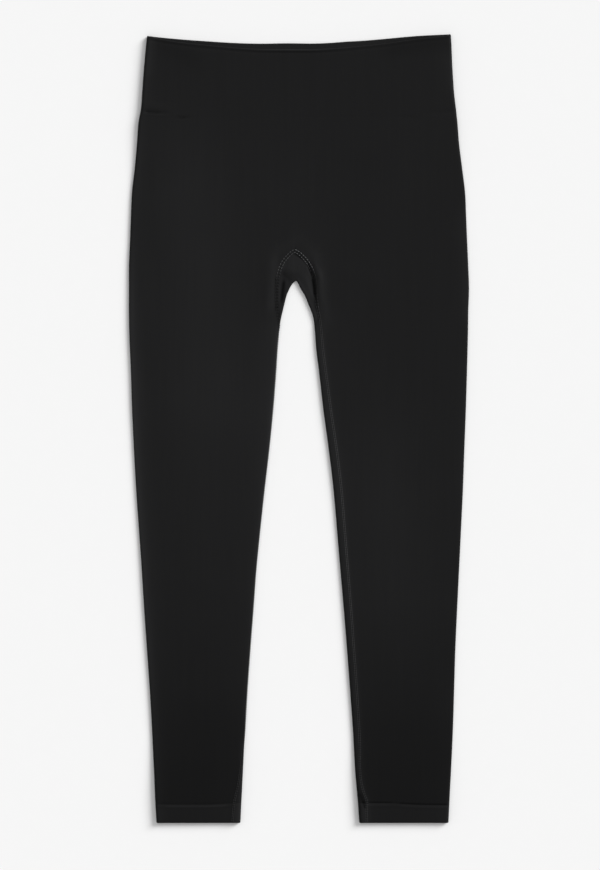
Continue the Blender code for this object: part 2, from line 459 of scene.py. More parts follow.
class ClothSettings(PropertyGroup):
    """Sizes of the cloth and of how it lies."""

    wall: length_setting("Cloth", "Thickness of one layer", 0.7)
    turn_gap: length_setting("Turn gap", "Air between turned layers", 0.5)
    rise: length_setting("Rise", "Length over which the cloth climbs to a double edge", 84)
    right_roll: length_setting("Right roll", "Height of the soft roll along the right edge", 0.8)
    left_roll: length_setting("Left roll", "Height of the soft roll along the left edge", 0.4)
    inner_roll: length_setting("Inner roll", "Height of the soft roll along the inner legs", 0.7)
    rim: length_setting("Rim", "Height of the soft rim round the gusset", 0.6)
    sink: length_setting("Sink", "How far the gusset sinks beside its seam", 0.3)
    wave: length_setting("Wave", "Height of the slow waves in the cloth", 0.18)


class FinishSettings(PropertyGroup):
    """Colours and textures of the knit and the thread."""

    knit: colour_setting("Knit", "Colour of the knit", (0.0096, 0.0096, 0.0099))
    thread: colour_setting("Thread", "Colour of the sewing thread", (0.045, 0.045, 0.046))
    # Strength of the painted highlights along the edges
    edge_highlight: FloatProperty(
        name="Edge paleness", description="How much paler the edges are", default=0.45, subtype="FACTOR"
    )
    wale: length_setting("Wale", "Width of one column of loops", 0.9)
    course: length_setting("Course", "Height of one row of loops", 0.7)
    loop_depth: length_setting("Loop depth", "Relief of the loops", 0.12)


class StitchSettings(PropertyGroup):
    """Sizes of the seams' stitches."""

    pitch: length_setting("Pitch", "From one stitch of an inseam to the next", 2.6)
    gusset_pitch: length_setting("Gusset pitch", "From one stitch of the gusset's seam to the next", 3.4)
    thread: length_setting("Thread", "Thickness of the thread", 0.68)
    gusset_width: length_setting("Gusset seam", "Between the two rows of the gusset's seam", 3)
    inseam_width: length_setting("Inseam", "Between the two rows of an inseam", 1.7)


class StageSettings(PropertyGroup):
    """Floor and light."""

    floor: colour_setting("Floor", "Colour of the floor", (0.9, 0.9, 0.9))
    sky: FloatProperty(name="Sky", description="Strength of the light from all round", default=0.549)
    key: FloatProperty(name="Key", description="Strength of the light from one side", default=3.263)


def smooth(rows, column, at):
    """A table's column at any place: a cubic Hermite curve, with central differences as its slopes."""
    place, value = rows[:, 0], rows[:, column]
    slope = np.gradient(value, place)
    i = np.clip(np.searchsorted(place, at) - 1, 0, len(place) - 2)
    span = place[i + 1] - place[i]
    t = np.clip((at - place[i]) / span, 0.0, 1.0)
    return (
        (1 + 2 * t) * (1 - t) ** 2 * value[i]
        + t * (1 - t) ** 2 * span * slope[i]
        + t * t * (3 - 2 * t) * value[i + 1]
        + t * t * (t - 1) * span * slope[i + 1]
    )


def linear(rows, column, at):
    """A table's column at any place, in straight steps from row to row."""
    return np.interp(at, rows[:, 0], rows[:, column])


def ease(t):
    """Zero below 0, one above 1 and smooth between them."""
    t = np.clip(t, 0.0, 1.0)
    return t * t * (3.0 - 2.0 * t)


def bell(distance, width, centre=0.0):
    """One at the centre, fading to both sides as a Gaussian that falls to 1/e at its width."""
    return np.exp(-(((distance - centre) / width) ** 2))


def roll(distance, width):
    """A soft roll beside an edge: zero on the edge, one at its width, and fading inwards."""
    share = np.maximum(distance, 0.0) / width
    return share * np.exp(1.0 - share)


def glow(distance, *fades):
    """A glow inwards from an edge: a sum of strengths, each with the distance over which it falls to 1/e."""
    inside = np.maximum(distance, 0.0)
    return sum(strength * np.exp(-inside / reach) for strength, reach in fades)


def profile(distance, rows):
    """A line's relief across it: a sum of bells, each with its place, its width and its height."""
    return sum(height * bell(distance, width, place) for place, width, height in rows)


def bells(x, y, lines):
    """Sum of soft lines: each is its height times a bell of the distance to it, fading past both ends."""
    total = np.zeros(np.shape(x))
    for x0, y0, x1, y1, width, height in lines:
        run = np.array([x1 - x0, y1 - y0])
        length = np.linalg.norm(run)
        along = ((x - x0) * run[0] + (y - y0) * run[1]) / length
        across = ((y - y0) * run[0] - (x - x0) * run[1]) / length
        past = np.maximum(np.maximum(-along, along - length), 0.0)
        total += height * bell(across, width) * bell(past, 2 * width)
    return total


def column_of(side):
    """The column of a table of both legs that holds this side."""
    return 1 if side == RIGHT else 2


def outer_edge(side, y):
    """Distance of the outer edge from the middle line x = 0."""
    return side * smooth(OUTER, column_of(side), y)


def inner_edge(side, y):
    """Distance of a leg's inner edge from the middle line, counted outwards."""
    return side * smooth(INNER, column_of(side), y)


def seam_edge(side, y):
    """Distance of the gusset's seam from the middle line, counted outwards."""
    return side * smooth(SEAM, column_of(side), y)


def run_out(seam, fold, y):
    """The gusset's seam, which runs out to the inner fold along the tails."""
    share = ease((SEAM_END_Y - y) / (SEAM_END_Y - TAIL_Y))
    return seam * (1 - share) + fold * share


def seam_distance(x, y):
    """Distance to the gusset's seam, taken to close points along its sides. Far from the gusset it is 1 m."""
    steps = np.linspace(TAIL_Y, APEX_Y, 60)
    seam_x = np.concatenate([side * seam_edge(side, steps) for side in (RIGHT, LEFT)])
    seam_y = np.concatenate([steps, steps])
    near = (np.abs(x) < 60 * MM) & (y > TAIL_Y - 30 * MM) & (y < APEX_Y + 35 * MM)
    found = np.full(np.shape(x), 1.0)
    if near.any():
        found[near] = np.hypot(x[near][:, None] - seam_x, y[near][:, None] - seam_y).min(axis=1)
    return found


def in_gusset(x, y):
    """Whether a place lies inside the gusset's seam."""
    return (x > -seam_edge(RIGHT, y)) & (x < seam_edge(LEFT, y)) & (y < APEX_Y) & (y > TAIL_Y)


def tube_height(y, rise):
    """Height of the pressed tube: two single layers, climbing to the turned cloth of the band and hems."""
    near = np.maximum((y - BAND_SEAM_Y) / rise + 1.0, (HEM_SEAM_Y - y) / rise + 1.0)
    return SINGLE_HEIGHT + (DOUBLE_HEIGHT - SINGLE_HEIGHT) * ease(near)


def hem_drift(x, y):
    """How far the rows near a hem's seam move along the leg."""
    return smooth(HEM_DRIFT, 1, x) * ease(1.0 - np.abs(y - HEM_SEAM_Y) / HEM_DRIFT_REACH)


def waves(x, y):
    """Two slow waves of the cloth, one across it and one along it, each bent by the other direction."""
    across = np.sin(x / (31 * MM) + 0.8 * np.sin(y / (74 * MM)))
    along = np.sin(y / (47 * MM) + 1.3 * np.cos(x / (58 * MM)) + 0.6)
    return across + 0.8 * along


def front_relief(x, y, cloth):
    """How far the front stands above the flat panel.

    It is the sum of soft rolls along the edges, a rim round the gusset's seam, the creases, slow waves, and a
    groove along each hem's seam with a ridge below it.
    """
    relief = cloth.wave * waves(x, y) + bells(x, y, CREASES) + profile(y - HEM_SEAM_Y, HEM_PROFILE)
    legs = ease((150 * MM - y) / (60 * MM))
    for side, height in ((RIGHT, cloth.right_roll), (LEFT, cloth.left_roll)):
        relief += height * roll(outer_edge(side, y) - side * x, OUTER_ROLL_WIDTH[side])
        beside = side * x - inner_edge(side, y)
        relief += cloth.inner_roll * legs * roll(beside, INNER_ROLL_WIDTH[side]) * (side * x > 0)
    return relief + cloth.rim * roll(seam_distance(x, y), 3.0 * MM) * ease((y - TAIL_Y) / (30 * MM))


def gusset_relief(x, y, inside, sink):
    """How far the gusset's front stands above its flat panel: sunk beside its seam and in its folds."""
    beside = bell(inside, 2.2 * MM, 2.0 * MM)
    return ease(inside / (1.2 * MM)) * (bells(x, y, GUSSET_CREASES) - sink * beside)


def front_height(x, y, cloth):
    """Height of the front at a place in plan, on the gusset or on the cloth round it."""
    gusset = gusset_relief(x, y, seam_distance(x, y), cloth.sink)
    return tube_height(y, cloth.rise) + np.where(in_gusset(x, y), gusset, front_relief(x, y, cloth))


def back_relief(x, y):
    """How far the back stands off the floor: at the gusset's seam, for its stitches, and along soft folds."""
    seam = BACK_SEAM_LIFT * bell(seam_distance(x, y), 3.2 * MM) * ease((y - TAIL_Y) / (8 * MM))
    return seam + bells(x, y, BACK_FOLDS)


def lifted(z, up, front, back):
    """Height of a section's points with the relief of front and back. up is 1 in front and 0 behind."""
    return z + front * up + back * (1.0 - up)


def knit_tone_and_light(side, x, y, finish):
    """How pale the knit is: darker down the calf, with painted highlights along the edges and beside the left
    inseam, and painted light and shade in its patches.

    low is 0 on the thigh and 1 near the hem, where the left leg's painted highlights are wider.
    """
    low = ease((-260 * MM - y) / (50 * MM))
    right = glow(x + outer_edge(RIGHT, y), (1.2, 3.2 * MM), (0.6, 10 * MM))
    left = glow(outer_edge(LEFT, y) - x, (0.6, 4 * MM), (0.55 * low, 12 * MM))
    inner = glow(side * x - inner_edge(side, y), (1.0, 13 * MM))
    # pale holds the painted highlights along the outer edges and the inner legs
    pale = linear(RIGHT_GLOW, 1, y) * right + left + linear(INNER_GLOW, column_of(side), y) * inner
    # a painted highlight beside the left inseam
    if side == LEFT:
        beyond = x - inner_edge(LEFT, y) - smooth(INSEAM, 2, y) + (0.7 + 1.3 * low) * MM
        pale += 1.1 * bell(beyond, (2.4 + 1.4 * low) * MM) * ease((120 * MM - y) / (40 * MM))
    return linear(TONE_BY_LEVEL, 1, y) * (1.0 + finish.edge_highlight * pale) * (1.0 + bells(x, y, PAINTED_LIGHT_AND_SHADE))


def spread(length, arc, middle_steps):
    """Distances from the outer fold to the far end: close round and beside both folds, even between them."""
    head = np.hstack([arc * FOLD_SHARES, arc + OUTER_STEPS])
    tail = length - np.hstack([arc * FOLD_SHARES, arc + INNER_STEPS])[:, ::-1]
    share = np.linspace(0.0, 1.0, middle_steps + 2)[1:-1]
    middle = head[:, -1:] + (tail[:, :1] - head[:, -1:]) * share
    return np.hstack([head, middle, tail])


def section(outer, inner, limit, height, inset=0.0, middle_steps=SHELL_MIDDLE_STEPS):
    """Sections of a pressed tube, a row for each level, from the front's end round the outer fold and back.

    A panel is straight, and a fold is a half circle of half the height. limit is where front and back end, on
    the panel or, unrolled, on the inner fold. inset moves it in. Gives distance outwards, height and run.
    """
    half = height / 2
    radius = half - inset
    arc = half * math.pi / 2
    distance = spread(outer - half + arc - limit, arc, middle_steps)
    unrolled = outer - half + arc - distance
    out_turn = np.clip(distance / half, 0.0, math.pi / 2)
    in_turn = np.clip((inner + half - unrolled) / half, 0.0, math.pi / 2)
    at_outer = distance < arc
    at_inner = unrolled < inner + half
    away = np.where(at_outer, outer - half + radius * np.cos(out_turn), unrolled)
    away = np.where(at_inner, inner + half - radius * np.sin(in_turn), away)
    lift = np.where(at_outer, radius * np.sin(out_turn), radius * np.cos(in_turn))
    away = np.hstack([away[:, ::-1], away[:, 1:]])
    z = np.hstack([(half + lift)[:, ::-1], (half - lift)[:, 1:]])
    run = np.hstack([distance[:, ::-1], -distance[:, 1:]])
    return away, z, run


def fold_limit(inner, height):
    """The unrolled place of the extreme of an inner fold."""
    half = height / 2
    return inner + half - half * math.pi / 2


def grid_faces(rows, columns, start=0, flip=False):
    """Quads of a grid of points, numbered row by row from start."""
    corner = (np.arange(rows - 1)[:, None] * columns + np.arange(columns - 1)).ravel() + start
    faces = np.column_stack([corner, corner + 1, corner + columns + 1, corner + columns])
    return faces[:, ::-1] if flip else faces


def add_tone(mesh, tone):
    """Puts on the mesh how pale the cloth or thread is at each of its points, with its painted light and
    shade.
    """
    layer = mesh.attributes.new("tone", "FLOAT", "POINT")
    layer.data.foreach_set("value", tone.astype(np.float32).ravel())


def add_object(name, mesh, material):
    """A smooth-shaded object of a mesh, in the scene."""
    mesh.shade_smooth()
    mesh.materials.append(material)
    obj = bpy.data.objects.new(name, mesh)
    bpy.context.scene.collection.objects.link(obj)
    return obj


def build(name, points, uv, tone, faces, material, wall=None):
    """A smooth piece in one mesh, with its points that meet merged.

    A closed surface has its faces turned outwards. A skin, whose faces look outwards, gets its wall inwards.
    """
    mesh = bpy.data.meshes.new(name)
    mesh.from_pydata(points.reshape(-1, 3).tolist(), [], faces.tolist())
    corners = np.zeros(len(mesh.loops), np.int32)
    mesh.loops.foreach_get("vertex_index", corners)
    layer = mesh.uv_layers.new(name="cloth")
    layer.data.foreach_set("uv", uv.reshape(-1, 2)[corners].astype(np.float32).ravel())
    add_tone(mesh, tone)
    bm = bmesh.new()
    bm.from_mesh(mesh)
    bmesh.ops.remove_doubles(bm, verts=bm.verts, dist=MERGE_DISTANCE)
    if wall is None:
        bmesh.ops.recalc_face_normals(bm, faces=bm.faces)
    bm.to_mesh(mesh)
    bm.free()
    obj = add_object(name, mesh, material)
    if wall is not None:
        thicken(obj, wall)
    obj.data.set_sharp_from_angle(angle=math.radians(50))
    return obj


def thicken(obj, wall):
    """Gives a skin its wall, inwards, with a square rim."""
    modifier = obj.modifiers.new("wall", "SOLIDIFY")
    modifier.thickness = wall
    modifier.offset = -1.0
    modifier.use_even_offset = True
    modifier.use_rim = True
    shown = obj.evaluated_get(bpy.context.evaluated_depsgraph_get())
    obj.data = bpy.data.meshes.new_from_object(shown)
    obj.modifiers.clear()


class Nodes:
    """A short way to build a material: a Principled shader and the nodes that lead to it."""

    def __init__(self, name):
        self.material = bpy.data.materials.new(name)
        self.material.use_nodes = True
        self.tree = self.material.node_tree
        self.tree.nodes.clear()
        output = self.tree.nodes.new("ShaderNodeOutputMaterial")
        self.shader = self.add("ShaderNodeBsdfPrincipled")
        self.link(self.shader.outputs["BSDF"], output.inputs["Surface"])

    def add(self, kind, **values):
        """A node, with values for its inputs or else its properties."""
        node = self.tree.nodes.new(kind)
        for key, value in values.items():
            if key in node.inputs:
                node.inputs[key].default_value = value
            else:
                setattr(node, key, value)
        return node

    def link(self, start, end):
        """Joins an output to an input."""
        self.tree.links.new(start, end)

    def math(self, operation, first, second=None):
        """One Math node. Each term is a number or another node's output."""
        node = self.add("ShaderNodeMath", operation=operation)
        for socket, term in zip(node.inputs, (first, second)):
            if isinstance(term, bpy.types.NodeSocket):
                self.link(term, socket)
            elif term is not None:
                socket.default_value = term
        return node.outputs[0]

    def weighted(self, base, *terms):
        """A base plus each output times its weight."""
        total = base
        for output, weight in terms:
            total = self.math("ADD", self.math("MULTIPLY", output, weight), total)
        return total

    def noise(self, scale, detail=2.0, stretch=(1.0, 1.0, 1.0)):
        """Noise on the object's own coordinates, finer along an axis whose stretch is over one."""
        place = self.add("ShaderNodeTexCoord").outputs["Object"]
        mapping = self.add("ShaderNodeMapping", Scale=stretch)
        self.link(place, mapping.inputs["Vector"])
        noise = self.add("ShaderNodeTexNoise", Scale=scale, Detail=detail)
        self.link(mapping.outputs[0], noise.inputs["Vector"])
        return noise.outputs["Fac"]

    def toned(self, tone):
        """A tone times the tone stored on the mesh, which holds its painted light and shade."""
        paleness = self.add("ShaderNodeAttribute", attribute_name="tone")
        return self.math("MULTIPLY", tone, paleness.outputs["Fac"])

    def paint(self, colour, tone):
        """The base colour: a colour times a tone that varies over the surface."""
        scaled = self.add("ShaderNodeVectorMath", operation="SCALE")
        scaled.inputs[0].default_value = tuple(colour)
        self.link(tone, scaled.inputs["Scale"])
        self.link(scaled.outputs[0], self.shader.inputs["Base Color"])

    def bump(self, height, strength, distance):
        """The surface's relief, from a height that varies over it."""
        bump = self.add("ShaderNodeBump", Strength=strength, Distance=distance)
        self.link(height, bump.inputs["Height"])
        self.link(bump.outputs[0], self.shader.inputs["Normal"])


def knit_height(nodes, finish):
    """Height of a plain knit: each column holds two slanting threads that meet in a V at every course."""
    split = nodes.add("ShaderNodeSeparateXYZ")
    nodes.link(nodes.add("ShaderNodeTexCoord").outputs["UV"], split.inputs[0])
    column = nodes.math("FRACT", nodes.math("DIVIDE", split.outputs["X"], finish.wale))
    away = nodes.math("ABSOLUTE", nodes.math("SUBTRACT", column, 0.5))
    slant = nodes.math("MULTIPLY", away, 1.3)
    phase = nodes.math("ADD", nodes.math("DIVIDE", split.outputs["Y"], finish.course), slant)
    loop = nodes.math("SINE", nodes.math("MULTIPLY", phase, 2 * math.pi))
    thread = nodes.math("SINE", nodes.math("MULTIPLY", away, 2 * math.pi))
    return nodes.math("MULTIPLY", thread, nodes.weighted(0.7, (loop, 0.3)))


def knit_material(name, finish):
    """Matt black knit: loops in the bump, faint uneven columns and clouds in the colour times the mesh's
    painted light and shade, a soft sheen.
    """
    nodes = Nodes(name)
    streaks = nodes.noise(1.0, 3.0, (420.0, 9.0, 60.0))
    clouds = nodes.noise(13.0, 3.0)
    grain = nodes.noise(1500.0, 1.0)
    tone = nodes.weighted(0.71, (streaks, 0.20), (clouds, 0.16), (grain, 0.22))
    nodes.paint(finish.knit, nodes.toned(tone))
    nodes.bump(knit_height(nodes, finish), 0.5, finish.loop_depth)
    nodes.link(nodes.weighted(0.72, (clouds, 0.12)), nodes.shader.inputs["Roughness"])
    nodes.shader.inputs["Specular IOR Level"].default_value = 0.06
    nodes.shader.inputs["Sheen Weight"].default_value = 0.02
    nodes.shader.inputs["Sheen Roughness"].default_value = 0.45
    nodes.material.diffuse_color = (*finish.knit, 1.0)
    return nodes.material


def thread_material(name, finish):
    """Spun sewing thread: fine twisted plies along it, a little brighter than the knit."""
    nodes = Nodes(name)
    patches = nodes.noise(260.0)
    nodes.paint(finish.thread, nodes.toned(nodes.weighted(0.65, (patches, 0.7))))
    ply = nodes.add("ShaderNodeTexWave", Scale=700.0, Distortion=2.0)
    nodes.link(nodes.add("ShaderNodeTexCoord").outputs["Object"], ply.inputs["Vector"])
    nodes.bump(ply.outputs["Fac"], 0.4, 0.05 * MM)
    nodes.shader.inputs["Roughness"].default_value = 0.55
    nodes.shader.inputs["Specular IOR Level"].default_value = 0.1
    return nodes.material


def finish_cloth(obj, replaced):
    """Puts a piece of cloth on the frame and hides the solids it replaces."""
    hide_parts(*replaced)
    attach(obj, "root")
    faces = np.zeros(len(obj.data.polygons))
    obj.data.polygons.foreach_get("area", faces)


def settings(context):
    """The four groups of settings: cloth, finish, stitches and stage."""
    scene = context.scene
    return scene.leggings_cloth, scene.leggings_finish, scene.leggings_stitch, scene.leggings_stage


def shell_levels():
    """Levels of the hip and legs from hem to band, closer beside the gusset and at the seams."""
    seam_gap = 0.03 * MM
    spans = (
        (HEM_SEAM_Y + seam_gap, HEM_SEAM_Y + 12 * MM, 12),
        (HEM_SEAM_Y + 12 * MM, 90 * MM, 112),
        (90 * MM, TAIL_Y, 8),
        (TAIL_Y, SEAM_END_Y, 9),
        (SEAM_END_Y, 178 * MM, 30),
        (178 * MM, APEX_Y, 18),
        (APEX_Y, BAND_SEAM_Y - 6 * MM, 34),
        (BAND_SEAM_Y - 6 * MM, BAND_SEAM_Y - seam_gap, 4),
    )
    return np.unique(np.concatenate([np.linspace(low, high, count) for low, high, count in spans]))


def half_shell(side, levels, cloth, finish):
    """One half of the hip and its leg as a grid: points, unrolled coordinates and tones.

    Each level is a section of the pressed tube. Above the gusset it ends straight above the gusset's point,
    beside the gusset on the seam, and below it both ends meet at the extreme of the inner fold.
    """
    y = levels[:, None]
    height = tube_height(y, cloth.rise)
    fold = fold_limit(inner_edge(side, y), height)
    middle = side * RIGHT * seam_edge(RIGHT, APEX_Y)
    limit = np.where(y >= APEX_Y, middle, run_out(seam_edge(side, y), fold, y))
    inner = np.where(y > SEAM_END_Y, NO_INNER_FOLD, inner_edge(side, y))
    away, z, run = section(outer_edge(side, y), inner, limit, height)
    x = side * away
    level = np.broadcast_to(y, x.shape)
    z = lifted(z, z / height, front_relief(x, level, cloth), back_relief(x, level))
    placed = level + hem_drift(x, level)
    points = np.stack([x, placed, z], axis=-1)
    uv = np.stack([run + side, placed], axis=-1)
    return points, uv, knit_tone_and_light(side, x, level, finish)


class LEGGINGS_OT_shell(Operator):
    """Hip and both legs, one knitted tube cut open between the legs"""

    bl_idname = "leggings.shell"
    bl_label = "Hip and legs"

    def execute(self, context):
        cloth, finish, _, _ = settings(context)
        levels = shell_levels()
        right = half_shell(RIGHT, levels, cloth, finish)
        left = half_shell(LEFT, levels, cloth, finish)
        points, uv, tone = (np.concatenate(pair) for pair in zip(right, left))
        rows, columns = left[-1].shape
        faces = [grid_faces(rows, columns, 0, flip=True), grid_faces(rows, columns, rows * columns)]
        material = knit_material("knit_body", finish)
        obj = build("hip_and_legs", points, uv, tone, np.concatenate(faces), material, cloth.wall)
        finish_cloth(obj, ["body", "leg_left", "leg_right"])
        return {"FINISHED"}


def turned_profile(rows, wall, gap):
    """Profile of cloth turned in at its edge: rows of share of the depth, setback from the edge, and inset.

    It runs outside from the seam to the edge, round the fold and back inside, and returns between the layers.
    """
    fold = wall + gap / 2
    shares = np.linspace(0.0, 1.0, rows)
    homewards = shares[::-1]
    angles = np.linspace(0.0, math.pi, 9)[1:-1]
    small = np.linspace(math.pi, 0.0, 5)[1:-1]
    stretches = [
        (shares, shares * fold, 0 * shares),
        (np.ones_like(angles), fold - fold * np.sin(angles), fold - fold * np.cos(angles)),
        (homewards, homewards * fold, 0 * shares + 2 * fold),
        (shares, shares * fold, 0 * shares + wall + gap),
        (np.ones_like(small), fold - gap / 2 * np.sin(small), fold - gap / 2 * np.cos(small)),
        (homewards, homewards * fold, 0 * shares + wall),
    ]
    points = np.concatenate([np.column_stack(stretch) for stretch in stretches])
    return np.concatenate([points, points[:1]])


def plain_light(x, y, edge, up):
    """No painted light or shade."""
    return 1.0


class Turning(NamedTuple):
    """How a tube of cloth turned in at its free edge is shaped. up is 1 on its front and 0 on its back."""

    side: int  # the sections run from this side's outer fold to the other fold
    seam_y: float  # level of its seam
    edge_y: Callable  # from x and up: level of its free edge
    inner_of: Callable  # from a level: distance of the other fold, counted outwards
    relief_of: Callable  # from x, y and the edge's level: how far its front stands above the flat panel
    rows: int  # steps of its profile along each layer
    middle_steps: int  # steps of a section between its two folds
    light_of: Callable = plain_light  # from x, y, the edge's level and up: factor of its tone, for painted light and shade


def turned_tube(name, turning, cloth, finish, material):
    """A pressed tube of two layers that meet in a fold at its free edge, as a closed grid.

    Each row of the turned profile is a section of the tube, at its share of the way from the seam to the edge,
    moved in by its inset and back from the edge by its setback.
    """
    side, seam_y = turning.side, turning.seam_y
    profile_rows = turned_profile(turning.rows, cloth.wall, cloth.turn_gap)
    share, setback, inset = (column[:, None] for column in profile_rows.T)
    middle_edge = turning.edge_y(np.zeros(1), np.zeros(1))[0]
    level = seam_y + share * (middle_edge - seam_y)
    height = tube_height(level, cloth.rise)
    inner = turning.inner_of(level)
    limit = fold_limit(inner, height)
    away, z, run = section(outer_edge(side, level), inner, limit, height, inset, turning.middle_steps)
    x = side * away
    up = z / height
    edge = turning.edge_y(x, up)
    y = seam_y + share * (edge - seam_y) - setback * np.sign(middle_edge - seam_y)
    z = lifted(z, up, turning.relief_of(x, y, edge), back_relief(x, y))
    tone = knit_tone_and_light(side, x, y, finish) * turning.light_of(x, y, edge, up)
    y = y + hem_drift(x, level)
    points = np.stack([x, y, z], axis=-1)
    uv = np.stack([run + 0.5 * side, y + inset], axis=-1)
    return build(name, points, uv, tone, grid_faces(*x.shape), material)


class LEGGINGS_OT_waistband(Operator):
    """The high waistband, knitted on and turned in double, with the inside of its back showing"""

    bl_idname = "leggings.waistband"
    bl_label = "Waistband"

    def execute(self, context):
        cloth, finish, _, _ = settings(context)

        def edge_y(x, up):
            """The edge's back level behind, its front level in front, eased round the sides."""
            front, back = smooth(WAIST_EDGE, 1, x), smooth(WAIST_EDGE, 2, x)
            return back + (front - back) * ease((up - 0.35) / 0.3)

        def other_fold(y):
            """The fold on the wearer's right, counted from the middle line towards the left."""
            return -outer_edge(RIGHT, y)

        def relief(x, y, edge):
            """The front's relief, with a bead along the waist edge and a dip below it."""
            return front_relief(x, y, cloth) + profile(edge - y, WAIST_PROFILE)

        def light(x, y, edge, up):
            """A painted highlight just under the front edge and a painted shade line below it, strongest in
            the middle.
            """
            middle = bell(x, 44 * MM, -6 * MM)
            # line is a painted highlight along the edge's bead, dark a painted shade in the dip below it
            line = middle * bell(edge - y, 0.7 * MM, 0.9 * MM)
            dark = (0.08 + 0.32 * middle) * bell(edge - y, 1.3 * MM, 3.2 * MM)
            return np.where(up > 0.5, 1.0 + line - dark, BAND_INSIDE_TONE)

        turning = Turning(LEFT, BAND_SEAM_Y, edge_y, other_fold, relief, BAND_ROWS, BAND_MIDDLE_STEPS, light)
        obj = turned_tube("waistband_cloth", turning, cloth, finish, knit_material("knit_band", finish))
        finish_cloth(obj, ["waistband"])
        return {"FINISHED"}


class LEGGINGS_OT_hems(Operator):
    """The two hems, each the end of a leg turned in double"""

    bl_idname = "leggings.hems"
    bl_label = "Hems"

    def execute(self, context):
        cloth, finish, _, _ = settings(context)
        material = knit_material("knit_hem", finish)

        def edge_y(x, up):
            """The hem's edge is level."""
            return HEM_EDGE_Y + 0.0 * x

        def relief(x, y, edge):
            """The front's relief."""
            return front_relief(x, y, cloth)

        for side, name in ((RIGHT, "right"), (LEFT, "left")):
            inner_of = partial(inner_edge, side)
            turning = Turning(side, HEM_SEAM_Y, edge_y, inner_of, relief, HEM_ROWS, SHELL_MIDDLE_STEPS)
            obj = turned_tube(f"hem_{name}_cloth", turning, cloth, finish, material)
            finish_cloth(obj, [f"hem_{name}"])
        return {"FINISHED"}


def travel(line):
    """How far each point of a line lies along it. Columns past the third aren't places."""
    steps = np.linalg.norm(np.diff(line[:, :3], axis=0), axis=1)
    return np.concatenate([[0.0], np.cumsum(steps)])


def resample(line, count):
    """Evenly spaced points along a line of points. Columns past the third are carried along."""
    at = np.linspace(0.0, travel(line)[-1], count)
    return np.column_stack([np.interp(at, travel(line), column) for column in line.T])


def tail_to_tail(edge_of, top, count):
    """A line in plan from the right leg's tail over a top level to the left leg's tail.

    edge_of gives its distance from the middle line, counted outwards, on a side at a level.
    """
    rising = np.linspace(TAIL_TIP_Y, top, 160)
    falling = rising[-2::-1]
    x = np.concatenate([RIGHT * edge_of(RIGHT, rising), LEFT * edge_of(LEFT, falling)])
    return resample(np.column_stack([x, np.concatenate([rising, falling])]), count)


def seam_line(count):
    """The gusset's seam in plan, from tail to tail."""

    def edge_of(side, y):
        return run_out(seam_edge(side, y), inner_edge(side, y), y)

    return tail_to_tail(edge_of, APEX_Y, count)


def crotch_line(count):
    """The fold of the gusset over the crotch in plan, from tail to tail."""
    return tail_to_tail(inner_edge, CROTCH_Y, count)


def gusset_leaf(cloth):
    """The gusset as a grid, a row for each station from tail to tail: points, flat coordinates and tones.

    A row starts on the front seam and is level until half the tube's height before the fold. There it turns
    down in a quarter circle, and the back mirrors the front. The front has a soft lip before the fold, and the
    leaf gets thin where it gets narrow, at both tails.
    """
    seam = seam_line(GUSSET_STATIONS)
    fold = crotch_line(GUSSET_STATIONS)
    width = np.maximum(np.linalg.norm(fold - seam, axis=1, keepdims=True), 0.1 * MM)
    seam = seam + (fold - seam) / width * np.minimum(GUSSET_GAP, 0.3 * width)
    half = SINGLE_HEIGHT / 2
    turn = np.minimum(half, 0.5 * width)
    flat = (width - turn) * np.linspace(0.0, 1.0, GUSSET_STEPS)
    angle = np.linspace(math.pi / 2, 0.0, 5)[1:]
    bend = width - turn + turn * np.cos(angle)
    along = np.hstack([flat, bend, bend[:, -2::-1], flat[:, ::-1]])
    lift = np.hstack([np.ones_like(flat), np.broadcast_to(np.sin(angle), bend.shape)])
    lift = np.hstack([lift, -lift[:, -2::-1]])
    z = half * (1 + ease(width / (1.6 * MM)) * lift)
    up = z / SINGLE_HEIGHT
    share = (along / width)[..., None]
    plan = seam[:, None, :] * (1 - share) + fold[:, None, :] * share
    x, y = plan[..., 0], plan[..., 1]
    lip = 0.4 * MM * bell(width - along, 2.2 * MM, 2.5 * MM) * ease(width / (5 * MM) - 1.0)
    z = lifted(z, up, gusset_relief(x, y, along, cloth.sink) + lip, back_relief(x, y))
    # painted shade in the gusset's folds and painted highlights on its ridges, on the front only
    folds = np.where(up > 0.5, bells(x, y, GUSSET_LIGHT_AND_SHADE), 0.0)
    return np.stack([x, y, z], axis=-1), plan, np.maximum(GUSSET_TONE * (1.0 + folds), 0.05)


class LEGGINGS_OT_gusset(Operator):
    """The crotch gusset, a leaf folded over the crotch, sunk a little below the cloth round it"""

    bl_idname = "leggings.gusset"
    bl_label = "Crotch gusset"

    def execute(self, context):
        cloth, finish, _, _ = settings(context)
        points, uv, tone = gusset_leaf(cloth)
        material = knit_material("knit_gusset", finish)
        faces = grid_faces(*tone.shape)
        obj = build("gusset_cloth", points, uv, tone, faces, material, GUSSET_WALL * cloth.wall)
        tip_to_tip = travel(crotch_line(GUSSET_STATIONS))[-1]
        finish_cloth(obj, ["gusset"])
        return {"FINISHED"}


